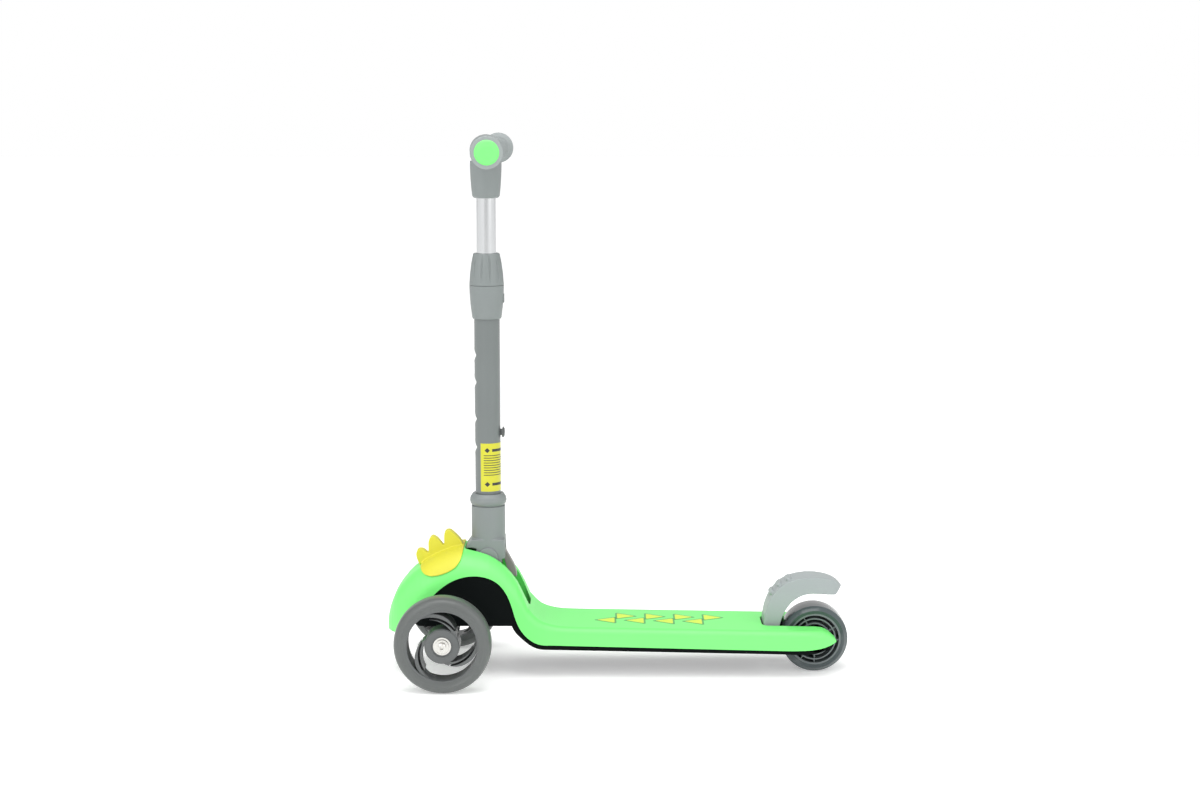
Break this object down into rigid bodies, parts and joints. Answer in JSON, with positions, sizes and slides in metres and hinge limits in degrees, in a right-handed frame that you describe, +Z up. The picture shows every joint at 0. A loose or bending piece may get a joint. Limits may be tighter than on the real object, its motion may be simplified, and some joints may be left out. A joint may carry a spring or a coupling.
{
  "type": "kick scooter",
  "caption": "Child's folding kick scooter that steers by leaning, with a moulded hooded footboard, height-adjustable handlebar and rear foot brake.",
  "frame": {"origin": "on the floor, under the middle of the whole object's box", "axes": "+X forwards, +Y to the rider's left, +Z up"},
  "size_m": [0.5827, 0.2964, 0.6765],
  "materials": {
    "green_shell": "satin moulded plastic",
    "black_base": "satin moulded plastic",
    "yellow_soft": "soft satin plastic",
    "grey_light": "satin moulded plastic",
    "grey_lever": "satin moulded plastic",
    "grey_dark": "satin moulded plastic",
    "grey_paint": "fine satin powder coat",
    "polished_tube": "polished",
    "steel": "zinc plated",
    "tyre_grey": "cast polyurethane",
    "rim_grey": "satin moulded plastic",
    "tyre_rear": "clear cast polyurethane over a dark core",
    "rim_rear": "satin moulded plastic",
    "grip_rubber": "matte rubber",
    "bush_rubber": "black rubber"
  },
  "bodies": {
    "deck": {"deck_shell": "green_shell", "deck_base": "black_base", "spike_crest": "yellow_soft", "fold_bracket": "steel", "bracket_bolts": "steel", "catch_bar": "steel", "fold_pin": "steel", "steering_bolt": "steel", "steering_nut": "steel", "steering_bushing": "bush_rubber", "rear_axle": "steel", "rear_axle_nut": "steel", "axle_sleeves": "steel", "rear_spacer": "steel", "brake_pin": "steel", "brake_spring": "steel"},
    "steering": {"steering_beam": "grey_dark", "front_axle_bolt_left": "steel", "front_axle_bolt_right": "steel", "front_spacer_left": "steel", "front_spacer_right": "steel"},
    "left_wheel": {"front_tyre_left": "tyre_grey", "front_rim_left": "rim_grey", "front_bearings_left": "steel"},
    "right_wheel": {"front_tyre_right": "tyre_grey", "front_rim_right": "rim_grey", "front_bearings_right": "steel"},
    "rear_wheel": {"rear_tyre": "tyre_rear", "rear_rim": "rim_rear", "rear_bearings": "steel"},
    "brake": {"brake_fender": "grey_light"},
    "stem": {"stem_socket": "grey_light", "socket_ring": "grey_light", "lower_tube": "grey_paint", "lower_collar": "grey_light", "clamp_sleeve": "grey_dark", "lever_pin": "steel", "lever_spring": "steel", "button_spring": "steel"},
    "fold_lever": {"fold_lever": "grey_lever"},
    "clamp_nut": {"clamp_nut": "grey_light"},
    "handlebar": {"upper_tube": "polished_tube", "tube_foot": "grey_dark", "t_head": "grey_light", "crossbar": "steel", "grip_left": "grip_rubber", "grip_right": "grip_rubber", "end_cap_left": "green_shell", "end_cap_right": "green_shell"},
    "height_button": {"height_button": "grey_dark"}
  },
  "joints": [
    {"name": "left_wheel_spin", "type": "hinge", "parent": "steering", "child": "left_wheel", "pos_m": [0.215, 0.11, 0.06], "axis": [0, 1, 0], "continuous": true},
    {"name": "right_wheel_spin", "type": "hinge", "parent": "steering", "child": "right_wheel", "pos_m": [0.215, -0.11, 0.06], "axis": [0, 1, 0], "continuous": true},
    {"name": "rear_wheel_spin", "type": "hinge", "parent": "deck", "child": "rear_wheel", "pos_m": [-0.249, 0, 0.0425], "axis": [0, 1, 0], "continuous": true},
    {"name": "lean_steer", "type": "hinge", "parent": "deck", "child": "steering", "pos_m": [0.222, 0, 0.05], "axis": [0.7071, 0, 0.7071], "range_deg": [-10, 10], "stiffness_Nm_per_rad": 60},
    {"name": "stem_fold", "type": "hinge", "parent": "deck", "child": "stem", "pos_m": [0.164, 0, 0.1465], "axis": [0, -1, 0], "range_deg": [0, 90]},
    {"name": "fold_lever_pull", "type": "hinge", "parent": "stem", "child": "fold_lever", "pos_m": [0.1495, 0, 0.159], "axis": [0, 1, 0], "range_deg": [0, 20], "stiffness_Nm_per_rad": 0.3, "springref_deg": -17.19},
    {"name": "brake_press", "type": "hinge", "parent": "deck", "child": "brake", "pos_m": [-0.1925, 0, 0.049], "axis": [0, -1, 0], "range_deg": [0, 8], "stiffness_Nm_per_rad": 6, "springref_deg": -5.73},
    {"name": "clamp_turn", "type": "hinge", "parent": "stem", "child": "clamp_nut", "pos_m": [0.164, 0, 0.51], "axis": [0, 0, 1], "range_deg": [0, 90]},
    {"name": "handlebar_height", "type": "slide", "parent": "stem", "child": "handlebar", "axis": [0, 0, 1], "range_m": [0, 0.12]},
    {"name": "button_press", "type": "slide", "parent": "stem", "child": "height_button", "axis": [1, 0, 0], "range_m": [0, 0.0025], "stiffness_N_per_m": 600, "springref_m": -0.002}
  ]
}
